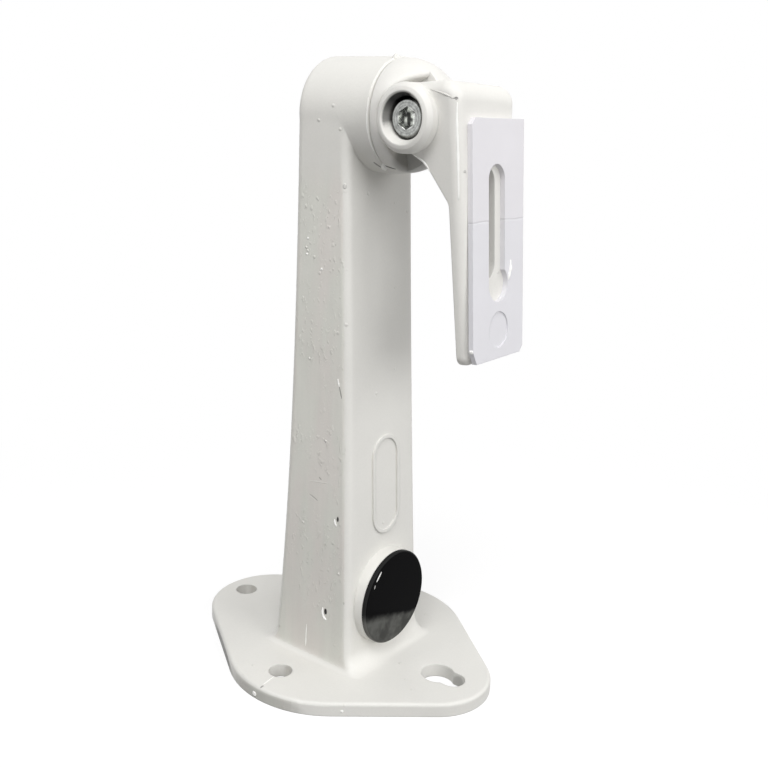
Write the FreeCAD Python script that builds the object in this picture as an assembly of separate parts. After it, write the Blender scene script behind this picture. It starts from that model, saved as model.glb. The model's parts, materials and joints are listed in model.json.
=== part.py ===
import FreeCAD, Part
import math
import os

# Camera wall bracket, standing on its base plate, in millimetres.
# +Z runs up the arm from the wall face, -Y is the side that the camera plate faces,
# and -X is the side of the tilt screw. The origin is on the wall face, in the middle
# of the two fixing holes that lie on the Y axis.

# Base plate
BASE_W = 81.8
BASE_L = 105.1
BASE_FRONT_Y = -53.8
BASE_T = 4.2
BASE_EDGE_R = 1.0
BACK_CORNER_R = 20.7
SIDE_CORNER_R = 32.3
SIDE_CORNER_Y = -3.0
FRONT_CORNER_R = 17.4

# Fixing holes
HOLE_D = 7.1
BACK_HOLE_Y = 43.4
SIDE_HOLE_X = 30.1
SIDE_HOLE_Y = -1.2
KEY_D = 10.1
KEY_Y = -38.0
KEY_SLOT_W = 7.5
KEY_SLOT_Y = -43.4

# Column, a tapered box with a flared foot
AXIS_Z = 166.6
COLUMN_R = 2.4
SIDE_INSET = 0.15
SIDE_FLARE = 3.1
FRONT_FOOT_Y = -17.7
FRONT_TOP_Y = -8.8
BACK_Y = 9.1
BACK_FLARE = 4.2
FOOT_FRONT_R = 5.5
FOOT_SIDE_R = 1.6
FOOT_BACK_R = 5.0
FOOT_ROOT = 0.3
WALL = 2.8
CAVITY_TOP_Z = 146.0

# Round boss at the top, and its joint face
BOSS_R = 15.5
SEAM_Y = -16.05
SEAM_CHAMFER = 0.5

# Cable outlet at the foot, with its plug
OUTLET_Z = 23.7
OUTLET_R = 14.9
OUTLET_FACE_Y = -19.4
OUTLET_HOLE_D = 24.4
PLUG_R = 14.65
PLUG_T = 1.5
PLUG_CHAMFER = 0.45
PLUG_SKIRT_L = 8.0
PLUG_SKIRT_T = 1.4
PLUG_SLIT_W = 3.0
PLUG_CLEARANCE = 0.1
BARB_H = 0.5
BARB_GAP = 0.15

# Raised oval border on the column's front
OVAL_X = 1.0
OVAL_Z = 59.0
OVAL_W = 13.0
OVAL_H = 31.0
OVAL_RIB = 1.1
OVAL_RISE = 0.5

# Socket head screws and split spring washers, both joints alike
SCREW_D = 6.0
HEAD_D = 10.0
HEAD_H = 6.0
HEAD_CHAMFER = 0.6
SOCKET_AF = 5.0
SOCKET_DEPTH = 3.2
SCREW_TIP = 0.8
WASHER_D = 9.9
WASHER_T = 1.6
WASHER_SPLIT = 0.9
THREAD_CLEARANCE = 0.02
SCREW_HOLE_CLEARANCE = 0.05
COUNTERBORE_CLEARANCE = 0.4
CLEARANCE_HOLE = 0.3

# Roll screw, from the back of the boss into the knuckle
ROLL_SCREW_L = 16.0
ROLL_SEAT_Y = -6.0
ROLL_HOLE_DEPTH_SPARE = 0.4
SPIGOT_R = 6.5
SPIGOT_L = 2.5
SPIGOT_CLEARANCE = 0.06
SPIGOT_END_GAP = 0.4

# Knuckle: half a ball with a pocket for the eye, and a lug behind the eye
DOME_R = 15.2
DOME_COLLAR = 1.2
POCKET_R = 11.0
POCKET_LEAN = 12.0
LAP_X = -3.5
LUG_R = 8.6
LUG_END_X = 11.0
LUG_EDGE_R = 1.2

# Eye of the camera head, round the tilt screw, whose axis lies a little below the boss axis
TILT_REACH = 13.65
TILT_DROP = 0.4
EYE_R = 8.75
EYE_SHOULDER_X = -17.8
EYE_FACE_X = -19.4
EYE_LIP_R = 6.5
BOWL_DEPTH = 2.2
TILT_SEAT_X = -9.4
TILT_SCREW_L = 20.0
HEAD_TILT = 4.5

# Camera plate and its web, measured from the tilt axis before tilting
PLATE_X = -1.8
PLATE_FRONT = 14.7
PLATE_T = 4.1
PLATE_TOP_LEFT = 8.75
PLATE_TOP_RIGHT = 8.2
PLATE_BOTTOM = 63.6
PLATE_TOP_W = 29.0
PLATE_BOTTOM_W = 18.5
PLATE_CORNER_R = 3.0
CREST_R = 5.0
HEAD_EDGE_R = 3.0
POCKET_EDGE_R = 1.0
WEB_T = 7.0
WEB_LOW = 21.4
WEB_KNEE_Y = 4.3
WEB_KNEE_Z = 11.6
WEB_KNEE_R = 3.0
WEB_ROOT_R = 4.0
CAMERA_SLOT_X = -3.05
CAMERA_SLOT_W = 8.6
CAMERA_SLOT_TOP = 12.3
CAMERA_SLOT_BOTTOM = 41.5

# Pad on the camera plate
PAD_T = 1.45
PAD_W = 25.4
PAD_X = 1.0
PAD_TOP = 0.4
PAD_H = 62.4
PAD_TOP_CORNER = 1.6
PAD_CORNER = 3.4
PAD_SLOT_X = 0.0
PAD_SLOT_W = 8.0
PAD_SLOT_TOP = 11.8
PAD_SLOT_END = 42.8
PAD_SLOT_END_X = 0.8
PAD_SLOT_END_D = 9.4
PAD_MARK_D = 9.6
PAD_MARK_BELOW = 55.0
PAD_MARK_DEPTH = 0.35

# How far cutting shapes run past what they cut
SPARE = 5.0

# Worked out from the sizes above
BACK_CORNER_Y = BASE_FRONT_Y + BASE_L - BACK_CORNER_R
FRONT_CORNER_Y = BASE_FRONT_Y + FRONT_CORNER_R
SIDE_CORNER_X = BASE_W / 2 - SIDE_CORNER_R
EYE_Y = SEAM_Y - TILT_REACH
EYE_Z = AXIS_Z - TILT_DROP
COUNTERBORE_R = max(HEAD_D, WASHER_D) / 2 + COUNTERBORE_CLEARANCE
FRONT_SLOPE = (FRONT_TOP_Y - FRONT_FOOT_Y) / AXIS_Z

X = FreeCAD.Vector(1, 0, 0)
Y = FreeCAD.Vector(0, 1, 0)
Z = FreeCAD.Vector(0, 0, 1)


def vec(x, y, z):
    return FreeCAD.Vector(x, y, z)


def rod(radius, start, end):
    """A cylinder between two points."""
    way = end - start
    return Part.makeCylinder(radius, way.Length, start, way)


def block(x0, x1, y0, y1, z0, z1):
    return Part.makeBox(x1 - x0, y1 - y0, z1 - z0, vec(x0, y0, z0))


def slot_bar(width, start, end, depth):
    """An obround bar between two parallel round ends, cut along depth."""
    radius = width / 2
    way = end - start
    side = depth.cross(way).normalize() * radius
    along = FreeCAD.Vector(way).normalize() * radius
    outline = [
        Part.LineSegment(start + side, end + side).toShape(),
        Part.Arc(end + side, end + along, end - side).toShape(),
        Part.LineSegment(end - side, start - side).toShape(),
        Part.Arc(start - side, start - along, start + side).toShape(),
    ]
    return Part.Face(Part.Wire(outline)).extrude(depth)


def belt(circles):
    """The closed outline of a belt round circles given as (x, y, radius), anticlockwise."""
    normals = []
    for (x1, y1, r1), (x2, y2, r2) in zip(circles, circles[1:] + circles[:1]):
        length = math.hypot(x2 - x1, y2 - y1)
        heading = math.atan2(y2 - y1, x2 - x1)
        normals.append(heading - math.acos((r1 - r2) / length))
    edges = []
    for i, (x, y, r) in enumerate(circles):
        begin, end = normals[i - 1], normals[i]
        while end < begin:
            end += 2 * math.pi
        points = [vec(x + r * math.cos(a), y + r * math.sin(a), 0) for a in (begin, (begin + end) / 2, end)]
        edges.append(Part.Arc(*points).toShape())
        nx, ny, nr = circles[(i + 1) % len(circles)]
        tangent = vec(nx + nr * math.cos(end), ny + nr * math.sin(end), 0)
        edges.append(Part.LineSegment(points[2], tangent).toShape())
    return Part.Wire(edges)


def turned(points, axis_point, axis):
    """A solid of revolution of a closed profile."""
    profile = Part.makePolygon(points + points[:1])
    return Part.Face(profile).revolve(axis_point, axis, 360)


def edges_at(shape, keep):
    return [edge for edge in shape.Edges if keep(edge)]


def spread(height, radius):
    """How far a hollow fillet at the foot stands out at this height above the plate."""
    low = max(radius - max(height, 0), 0)
    return radius - math.sqrt(radius ** 2 - low ** 2)


def column_section(z, inset=0.0, foot=False):
    """A rounded rectangle across the column at height z, with its foot fillets or without."""
    rise = 1 - z / AXIS_Z
    half = BOSS_R - SIDE_INSET + SIDE_FLARE * rise ** 2 - inset
    front = FRONT_FOOT_Y + FRONT_SLOPE * z + inset
    back = BACK_Y + BACK_FLARE * rise ** 3 - inset
    if foot:
        half += spread(z - BASE_T, FOOT_SIDE_R)
        front -= spread(z - BASE_T, FOOT_FRONT_R)
        back += spread(z - BASE_T, FOOT_BACK_R)
    r = max(COLUMN_R - inset, 0.8)
    c = r * (1 - math.sqrt(0.5))
    rim = [
        Part.LineSegment(vec(-half + r, front, z), vec(half - r, front, z)),
        Part.Arc(vec(half - r, front, z), vec(half - c, front + c, z), vec(half, front + r, z)),
        Part.LineSegment(vec(half, front + r, z), vec(half, back - r, z)),
        Part.Arc(vec(half, back - r, z), vec(half - c, back - c, z), vec(half - r, back, z)),
        Part.LineSegment(vec(half - r, back, z), vec(-half + r, back, z)),
        Part.Arc(vec(-half + r, back, z), vec(-half + c, back - c, z), vec(-half, back - r, z)),
        Part.LineSegment(vec(-half, back - r, z), vec(-half, front + r, z)),
        Part.Arc(vec(-half, front + r, z), vec(-half + c, front + c, z), vec(-half + r, front, z)),
    ]
    return Part.Wire([side.toShape() for side in rim])


def column_loft(z0, z1, inset=0.0, steps=4):
    heights = [z0 + (z1 - z0) * i / steps for i in range(steps + 1)]
    return Part.makeLoft([column_section(z, inset) for z in heights], True, False)


def column_foot(top):
    """The lowest part of the column, with hollow fillets that run out in the plate."""
    angles = [75, 60, 45, 30, 15, 0]
    heights = [BASE_T - FOOT_ROOT] + [BASE_T + (top - BASE_T) * (1 - math.sin(math.radians(a))) for a in angles]
    return Part.makeLoft([column_section(z, 0.0, True) for z in heights], True, False)


def front_y(z):
    """Where the column's front face lies at height z."""
    return FRONT_FOOT_Y + FRONT_SLOPE * z


def fixing_holes():
    low, high = -1.0, BASE_T + 1
    places = [(0, BACK_HOLE_Y), (SIDE_HOLE_X, SIDE_HOLE_Y), (-SIDE_HOLE_X, SIDE_HOLE_Y)]
    holes = [rod(HOLE_D / 2, vec(x, y, low), vec(x, y, high)) for x, y in places]
    holes.append(rod(KEY_D / 2, vec(0, KEY_Y, low), vec(0, KEY_Y, high)))
    holes.append(slot_bar(KEY_SLOT_W, vec(0, KEY_Y, low), vec(0, KEY_SLOT_Y, low), Z * (high - low)))
    return holes


def oval_border():
    """The raised oval border, laid on the sloping front face."""
    y = front_y(OVAL_Z)
    reach = OVAL_H / 2 - OVAL_W / 2
    low, high = vec(OVAL_X, y - OVAL_RISE, OVAL_Z - reach), vec(OVAL_X, y - OVAL_RISE, OVAL_Z + reach)
    depth = Y * (OVAL_RISE + WALL / 2)
    ring = slot_bar(OVAL_W, low, high, depth).cut(slot_bar(OVAL_W - 2 * OVAL_RIB, low, high, depth))
    ring.rotate(vec(OVAL_X, y, OVAL_Z), X, -math.degrees(math.atan(FRONT_SLOPE)))
    return ring


def arm_casting():
    corners = [
        (0, FRONT_CORNER_Y, FRONT_CORNER_R),
        (SIDE_CORNER_X, SIDE_CORNER_Y, SIDE_CORNER_R),
        (0, BACK_CORNER_Y, BACK_CORNER_R),
        (-SIDE_CORNER_X, SIDE_CORNER_Y, SIDE_CORNER_R),
    ]
    base = Part.Face(belt(corners)).extrude(Z * BASE_T)
    base = base.makeFillet(BASE_EDGE_R, edges_at(base, lambda e: e.BoundBox.ZMin > BASE_T - 0.01))
    foot_top = BASE_T + max(FOOT_FRONT_R, FOOT_SIDE_R, FOOT_BACK_R)
    foot = base.fuse(column_foot(foot_top)).fuse(column_loft(foot_top, AXIS_Z))

    boss = rod(BOSS_R, vec(0, SEAM_Y, AXIS_Z), vec(0, BACK_Y, AXIS_Z))
    boss = boss.makeFillet(COLUMN_R, edges_at(boss, lambda e: e.BoundBox.YMin > BACK_Y - 0.01))
    boss = boss.makeChamfer(SEAM_CHAMFER, edges_at(boss, lambda e: e.BoundBox.YMax < SEAM_Y + 0.01))
    body = foot.fuse(boss)

    outlet = rod(OUTLET_R, vec(0, OUTLET_FACE_Y, OUTLET_Z), vec(0, 0, OUTLET_Z))
    body = body.fuse(outlet)
    body = body.fuse(oval_border())

    cavity = column_loft(-1.0, CAVITY_TOP_Z, WALL)
    body = body.cut(cavity)
    body = body.cut(rod(OUTLET_HOLE_D / 2, vec(0, OUTLET_FACE_Y - SPARE, OUTLET_Z), vec(0, 0, OUTLET_Z)))
    for hole in fixing_holes():
        body = body.cut(hole)

    body = body.cut(rod(SCREW_D / 2 + CLEARANCE_HOLE, vec(0, SEAM_Y - 1, AXIS_Z), vec(0, BACK_Y, AXIS_Z)))
    body = body.cut(rod(COUNTERBORE_R, vec(0, ROLL_SEAT_Y, AXIS_Z), vec(0, BACK_Y + 1, AXIS_Z)))
    spigot_hole = rod(SPIGOT_R + SPIGOT_CLEARANCE, vec(0, SEAM_Y - 1, AXIS_Z),
                      vec(0, SEAM_Y + SPIGOT_L + SPIGOT_END_GAP, AXIS_Z))
    return body.cut(spigot_hole)


def cable_plug():
    face = OUTLET_FACE_Y
    hole_r = OUTLET_HOLE_D / 2
    catch_y = front_y(OUTLET_Z + hole_r + BARB_H) + WALL + BARB_GAP
    skirt_r = hole_r - PLUG_CLEARANCE
    cap = rod(PLUG_R, vec(0, face - PLUG_T, OUTLET_Z), vec(0, face, OUTLET_Z))
    cap = cap.makeChamfer(PLUG_CHAMFER, edges_at(cap, lambda e: e.BoundBox.YMax < face - PLUG_T + 0.01))
    skirt = rod(skirt_r, vec(0, face, OUTLET_Z), vec(0, face + PLUG_SKIRT_L, OUTLET_Z))
    barb = turned([
        vec(skirt_r - PLUG_SKIRT_T, catch_y, OUTLET_Z),
        vec(skirt_r, catch_y, OUTLET_Z),
        vec(skirt_r + BARB_H, catch_y + BARB_H, OUTLET_Z),
        vec(skirt_r, face + PLUG_SKIRT_L, OUTLET_Z),
        vec(skirt_r - PLUG_SKIRT_T, face + PLUG_SKIRT_L, OUTLET_Z),
    ], vec(0, 0, OUTLET_Z), Y)
    plug = cap.fuse(skirt).fuse(barb)
    plug = plug.cut(rod(skirt_r - PLUG_SKIRT_T, vec(0, face, OUTLET_Z),
                        vec(0, face + PLUG_SKIRT_L + 1, OUTLET_Z)))
    reach = hole_r + BARB_H + 1
    slit = block(-PLUG_SLIT_W / 2, PLUG_SLIT_W / 2, face + 0.5, face + PLUG_SKIRT_L + 1, -reach, reach)
    for turn in (0, 90):
        cut = slit.copy()
        cut.rotate(vec(0, 0, 0), Y, turn)
        cut.translate(Z * OUTLET_Z)
        plug = plug.cut(cut)
    return plug


def hexagon(across_flats, centre, normal, depth):
    """A hexagonal prism that starts at centre and runs along normal."""
    corner = across_flats / math.sqrt(3)
    side = normal.cross(Z).normalize()
    up = side.cross(normal).normalize()
    points = []
    for i in range(7):
        a = math.radians(60 * i)
        points.append(centre + side * (corner * math.sin(a)) + up * (corner * math.cos(a)))
    return Part.Face(Part.makePolygon(points)).extrude(normal * depth)


def socket_screw(under_head, way, length):
    """A socket head screw whose head rests at under_head and whose shank runs along way."""
    top = under_head - way * HEAD_H
    head = rod(HEAD_D / 2, top, under_head)
    rim = [edge for edge in head.Edges if len(edge.Vertexes) == 1
           and abs((edge.CenterOfMass - top).dot(way)) < 0.01]
    head = head.makeChamfer(HEAD_CHAMFER, rim)
    tip = under_head + way * length
    shank = rod(SCREW_D / 2, under_head, tip)
    end = [edge for edge in shank.Edges if len(edge.Vertexes) == 1
           and abs((edge.CenterOfMass - tip).dot(way)) < 0.01]
    shank = shank.makeChamfer(SCREW_TIP, end)
    return head.fuse(shank).cut(hexagon(SOCKET_AF, top, way, SOCKET_DEPTH)).removeSplitter()


def spring_washer(seat, way):
    """A flattened split washer that rests on seat, on the side that way points away from."""
    ring = rod(WASHER_D / 2, seat - way * WASHER_T, seat)
    ring = ring.cut(rod(SCREW_D / 2 + SCREW_HOLE_CLEARANCE, seat - way * (WASHER_T + 1), seat + way))
    side = way.cross(Z).normalize()
    slant = side * (WASHER_T / 2)
    split = Part.makePolygon([
        seat + way + side * (WASHER_SPLIT / 2) + slant,
        seat + way - side * (WASHER_SPLIT / 2) + slant,
        seat - way * (WASHER_T + 1) - side * (WASHER_SPLIT / 2) - slant,
        seat - way * (WASHER_T + 1) + side * (WASHER_SPLIT / 2) - slant,
        seat + way + side * (WASHER_SPLIT / 2) + slant,
    ])
    return ring.cut(Part.Face(split).extrude(Z * WASHER_D))


def eye_pocket(far):
    """The space round the eye: round behind and above it, and open below, where its floor leans forward."""
    lean = math.radians(POCKET_LEAN)
    eye = vec(-far, EYE_Y, EYE_Z)
    top = eye + Z * POCKET_R
    back = eye + Y * POCKET_R
    low = eye + vec(0, math.cos(lean), -math.sin(lean)) * POCKET_R
    floor_end = low + vec(0, -math.sin(lean), -math.cos(lean)) * (2 * far)
    outline = [
        Part.Arc(top, eye + vec(0, 1, 1) * (POCKET_R * math.sqrt(0.5)), back).toShape(),
        Part.Arc(back, eye + vec(0, math.cos(lean / 2), -math.sin(lean / 2)) * POCKET_R, low).toShape(),
    ]
    corners = [low, floor_end, vec(-far, EYE_Y - far, floor_end.z), vec(-far, EYE_Y - far, top.z), top]
    for start, end in zip(corners, corners[1:]):
        outline.append(Part.LineSegment(start, end).toShape())
    return Part.Face(Part.Wire(outline)).extrude(X * (far + LAP_X))


def swivel_knuckle():
    centre = vec(0, SEAM_Y - DOME_COLLAR, AXIS_Z)
    dome = Part.makeSphere(DOME_R, centre)
    far = DOME_R + SPARE
    dome = dome.common(block(-far, far, centre.y - far, centre.y, AXIS_Z - far, AXIS_Z + far))
    dome = dome.fuse(rod(DOME_R, centre, vec(0, SEAM_Y, AXIS_Z))).removeSplitter()
    dome = dome.makeChamfer(SEAM_CHAMFER, edges_at(dome, lambda e: e.BoundBox.YMin > SEAM_Y - 0.01))
    dome = dome.cut(eye_pocket(far))
    rim = edges_at(dome, lambda e: e.BoundBox.XLength > 1 and e.BoundBox.XMax < LAP_X + 0.01
                   and e.BoundBox.YMax < SEAM_Y - SEAM_CHAMFER - 0.1
                   and abs((e.CenterOfMass - centre).Length - DOME_R) < 2)
    dome = dome.makeFillet(POCKET_EDGE_R, rim)
    lug = rod(LUG_R, vec(LAP_X, EYE_Y, EYE_Z), vec(LUG_END_X, EYE_Y, EYE_Z))
    arm = block(LAP_X, LUG_END_X, EYE_Y, SEAM_Y - 2, EYE_Z - LUG_R, EYE_Z + LUG_R)
    lug = lug.fuse(arm).removeSplitter()
    lug = lug.makeFillet(LUG_EDGE_R, edges_at(lug, lambda e: e.BoundBox.XMin > LUG_END_X - 0.01
                                              and e.BoundBox.YMin < SEAM_Y - 3))
    spigot = rod(SPIGOT_R, vec(0, SEAM_Y, AXIS_Z), vec(0, SEAM_Y + SPIGOT_L, AXIS_Z))
    knuckle = dome.fuse(lug).fuse(spigot)
    thread_r = SCREW_D / 2 + THREAD_CLEARANCE
    roll_tip = ROLL_SEAT_Y + WASHER_T - ROLL_SCREW_L - ROLL_HOLE_DEPTH_SPARE
    knuckle = knuckle.cut(rod(thread_r, vec(0, roll_tip, AXIS_Z), vec(0, SEAM_Y + SPIGOT_L + 1, AXIS_Z)))
    return knuckle.cut(rod(thread_r, vec(LAP_X - 1, EYE_Y, EYE_Z), vec(LUG_END_X + 1, EYE_Y, EYE_Z)))


def tilted(shape):
    """Turns a piece of the head about the tilt axis, so that its foot stands forward."""
    shape.rotate(vec(0, EYE_Y, EYE_Z), X, -HEAD_TILT)
    return shape


def crest(front, top):
    """The rounded top edge of the head's front, from its front face to its top."""
    bend = CREST_R * (1 - math.sqrt(0.5))
    return Part.Arc(vec(0, front, top - CREST_R), vec(0, front + bend, top - bend),
                    vec(0, front + CREST_R, top)).toShape()


def swept(edge, points, width):
    """Closes a side view that starts with edge, and sweeps it across the falling crest."""
    chain = [edge.Vertexes[1].Point] + points + [edge.Vertexes[0].Point]
    edges = [edge]
    for start, end in zip(chain, chain[1:]):
        edges.append(Part.LineSegment(start, end).toShape())
    face = Part.Face(Part.Wire(edges))
    face.translate(X * (PLATE_X - PLATE_TOP_W / 2))
    fall = (PLATE_TOP_LEFT - PLATE_TOP_RIGHT) * width / PLATE_TOP_W
    return face.extrude(vec(width, 0, -fall))


def front_view():
    """The tapering outline of the plate, as deep as the web."""
    front = EYE_Y - PLATE_FRONT
    taper = (PLATE_TOP_W - PLATE_BOTTOM_W) / 2 / (PLATE_TOP_LEFT + PLATE_BOTTOM)
    over = 3.0
    half_top, half_foot = PLATE_TOP_W / 2 + taper * over, PLATE_BOTTOM_W / 2
    top, foot = EYE_Z + PLATE_TOP_LEFT + over, EYE_Z - PLATE_BOTTOM
    outline = Part.makePolygon([
        vec(PLATE_X - half_top, front, top),
        vec(PLATE_X - half_foot, front, foot),
        vec(PLATE_X + half_foot, front, foot),
        vec(PLATE_X + half_top, front, top),
        vec(PLATE_X - half_top, front, top),
    ])
    view = Part.Face(outline).extrude(Y * (PLATE_FRONT + 1))
    corners = edges_at(view, lambda e: e.BoundBox.ZMax < foot + 0.01 and e.BoundBox.XLength < 0.01)
    return view.makeFillet(PLATE_CORNER_R, corners)


def plate_and_web():
    """The camera plate and the bar that joins it to the eye."""
    y, z = EYE_Y, EYE_Z
    front = y - PLATE_FRONT
    back = front + PLATE_T
    top = z + PLATE_TOP_LEFT
    edge = crest(front, top)
    slab = swept(edge, [
        vec(0, back + 2, top),
        vec(0, back + 2, top - 1),
        vec(0, back, top - 1),
        vec(0, back, z - PLATE_BOTTOM - SPARE),
        vec(0, front, z - PLATE_BOTTOM - SPARE),
    ], PLATE_TOP_W)
    slab = slab.common(block(-PLATE_TOP_W, PLATE_TOP_W, front - 1, back, z - PLATE_BOTTOM - SPARE, top + SPARE))
    web = swept(edge, [
        vec(0, y, top),
        vec(0, y, z - EYE_R),
        vec(0, y - WEB_KNEE_Y, z - WEB_KNEE_Z),
        vec(0, back, z - WEB_LOW),
        vec(0, front, z - WEB_LOW),
    ], WEB_T)
    web = web.makeFillet(WEB_KNEE_R, edges_at(web, lambda e: abs(e.CenterOfMass.y - y + WEB_KNEE_Y) < 0.1
                                              and e.BoundBox.YLength < 0.1))
    joined = slab.fuse(web).removeSplitter()
    root = edges_at(joined, lambda e: abs(e.CenterOfMass.y - back) < 0.1 and e.BoundBox.YLength < 0.1
                    and abs(e.CenterOfMass.z - z + WEB_LOW) < 0.5 and e.BoundBox.ZLength < 0.5)
    joined = joined.makeFillet(WEB_ROOT_R, root)
    blank = joined.common(front_view())
    left = PLATE_X - PLATE_TOP_W / 2
    outer = edges_at(blank, lambda e: e.BoundBox.XMax < left + 1 and e.BoundBox.ZMin > top - 1
                     and e.BoundBox.YLength > 3)
    return blank.makeFillet(HEAD_EDGE_R, outer)


def camera_head():
    y, z = EYE_Y, EYE_Z
    hub = turned([
        vec(LAP_X, y, z),
        vec(LAP_X, y + EYE_R, z),
        vec(EYE_SHOULDER_X, y + EYE_R, z),
        vec(EYE_FACE_X + 0.3, y + EYE_LIP_R + 1.2, z),
        vec(EYE_FACE_X, y + EYE_LIP_R + 0.3, z),
        vec(EYE_FACE_X, y, z),
    ], vec(0, y, z), X)
    head = hub.fuse(plate_and_web())

    bowl = turned([
        vec(EYE_FACE_X - 1, y, z),
        vec(EYE_FACE_X - 1, y + EYE_LIP_R + 0.6, z),
        vec(EYE_FACE_X, y + EYE_LIP_R, z),
        vec(EYE_FACE_X + BOWL_DEPTH, y + COUNTERBORE_R, z),
        vec(TILT_SEAT_X, y + COUNTERBORE_R, z),
        vec(TILT_SEAT_X, y, z),
    ], vec(0, y, z), X)
    head = head.cut(bowl)
    head = head.cut(rod(SCREW_D / 2 + SCREW_HOLE_CLEARANCE, vec(TILT_SEAT_X - 1, y, z), vec(LAP_X + 1, y, z)))
    front = y - PLATE_FRONT
    reach = CAMERA_SLOT_W / 2
    slot = slot_bar(CAMERA_SLOT_W, vec(CAMERA_SLOT_X, front - 1, z - CAMERA_SLOT_TOP - reach),
                    vec(CAMERA_SLOT_X, front - 1, z - CAMERA_SLOT_BOTTOM + reach), Y * (PLATE_T + 2))
    return tilted(head.cut(slot))


def camera_pad():
    front = EYE_Y - PLATE_FRONT
    top = EYE_Z - PAD_TOP
    bottom = top - PAD_H
    left, right = PAD_X - PAD_W / 2, PAD_X + PAD_W / 2
    outline = Part.makePolygon([
        vec(left, front, top - PAD_TOP_CORNER),
        vec(left, front, bottom + PAD_CORNER),
        vec(left + PAD_CORNER / 2, front, bottom),
        vec(right - PAD_CORNER / 2, front, bottom),
        vec(right, front, bottom + PAD_CORNER / 2),
        vec(right, front, top),
        vec(left + PAD_TOP_CORNER, front, top),
        vec(left, front, top - PAD_TOP_CORNER),
    ])
    pad = Part.Face(outline).extrude(Y * -PAD_T)
    reach = PAD_SLOT_W / 2
    pad = pad.cut(slot_bar(PAD_SLOT_W, vec(PAD_SLOT_X, front + 1, EYE_Z - PAD_SLOT_TOP - reach),
                           vec(PAD_SLOT_X, front + 1, EYE_Z - PAD_SLOT_END), Y * -(PAD_T + 2)))
    end = vec(PAD_SLOT_END_X, front + 1, EYE_Z - PAD_SLOT_END)
    pad = pad.cut(rod(PAD_SLOT_END_D / 2, end, end - Y * (PAD_T + 2)))
    mark = vec(PAD_X, front - PAD_T + PAD_MARK_DEPTH, EYE_Z - PAD_MARK_BELOW)
    pad = pad.cut(rod(PAD_MARK_D / 2, mark, mark - Y))
    return tilted(pad)


def nodes():
    roll_seat = vec(0, ROLL_SEAT_Y, AXIS_Z)
    tilt_seat = vec(TILT_SEAT_X, EYE_Y, EYE_Z)
    return {
        "arm_casting": arm_casting(),
        "cable_plug": cable_plug(),
        "swivel_knuckle": swivel_knuckle(),
        "roll_screw": socket_screw(roll_seat + Y * WASHER_T, Y * -1, ROLL_SCREW_L),
        "roll_washer": spring_washer(roll_seat, Y * -1),
        "camera_head": camera_head(),
        "camera_pad": camera_pad(),
        "tilt_screw": socket_screw(tilt_seat - X * WASHER_T, X, TILT_SCREW_L),
        "tilt_washer": spring_washer(tilt_seat, X),
    }


os.makedirs("parts", exist_ok=True)
for name, shape in nodes().items():
    shape.exportStep("parts/" + name + ".step")
    print(name, shape.isValid(), len(shape.Solids), round(shape.Volume))
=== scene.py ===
import json
import math

import bmesh
import bpy
from mathutils import Matrix, Vector, noise
from mathutils.bvhtree import BVHTree


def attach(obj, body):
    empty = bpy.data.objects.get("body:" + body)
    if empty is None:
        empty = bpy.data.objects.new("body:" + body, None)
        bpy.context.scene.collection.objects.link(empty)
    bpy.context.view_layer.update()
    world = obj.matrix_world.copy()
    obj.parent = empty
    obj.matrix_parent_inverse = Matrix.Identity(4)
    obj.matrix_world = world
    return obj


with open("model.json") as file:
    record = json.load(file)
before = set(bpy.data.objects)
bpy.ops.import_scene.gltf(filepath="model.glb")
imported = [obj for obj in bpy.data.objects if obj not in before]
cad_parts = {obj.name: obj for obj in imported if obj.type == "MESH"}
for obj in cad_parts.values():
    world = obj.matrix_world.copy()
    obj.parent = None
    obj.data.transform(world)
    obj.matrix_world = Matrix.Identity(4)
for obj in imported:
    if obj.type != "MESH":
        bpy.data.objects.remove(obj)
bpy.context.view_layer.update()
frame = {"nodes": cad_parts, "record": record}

MM = 0.001
TINY = 1e-6

# Camera: its place in metres, the direction that it looks from and its roll in degrees, the nearest
# distance in metres that it shows, and its lens and the width of its sensor in mm
CAMERA_AT = (-0.2224, -0.1799, 0.1673)
CAMERA_AZIMUTH = -53.16
CAMERA_ELEVATION = 15.48
CAMERA_ROLL = 2.29
CAMERA_NEAR = 0.01
LENS = 45.9
SENSOR = 36.0

# Studio, in metres and degrees: an even light from all round, and lamps. Each lamp is a square at a distance
# from the middle of the object, and its level is the share of full white that it gives a surface facing it
AIM = Vector((0.0, -0.015, 0.09))
AMBIENT = 0.33
LAMP_DISTANCE = 0.9
LAMP_SIZE = 0.45
LAMPS = {
    "key": {"azimuth": -58, "elevation": 57, "level": 0.52},
    "front": {"azimuth": -10, "elevation": 20, "level": 0.38},
    "left": {"azimuth": -100, "elevation": 50, "level": 0.22},
    "side": {"azimuth": 35, "elevation": 30, "level": 0.19},
}

# The floor: its side in metres, its lit tone and its glow near the object, where it keeps the shadow, the
# radii in metres between which it turns to plain white, and the tone that other surfaces get light from
FLOOR_SIDE = 12.0
FLOOR_TONE = 0.3
FLOOR_GLOW = 0.75
FLOOR_FADE = (0.05, 0.25)
FLOOR_BOUNCE = 0.3

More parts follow.
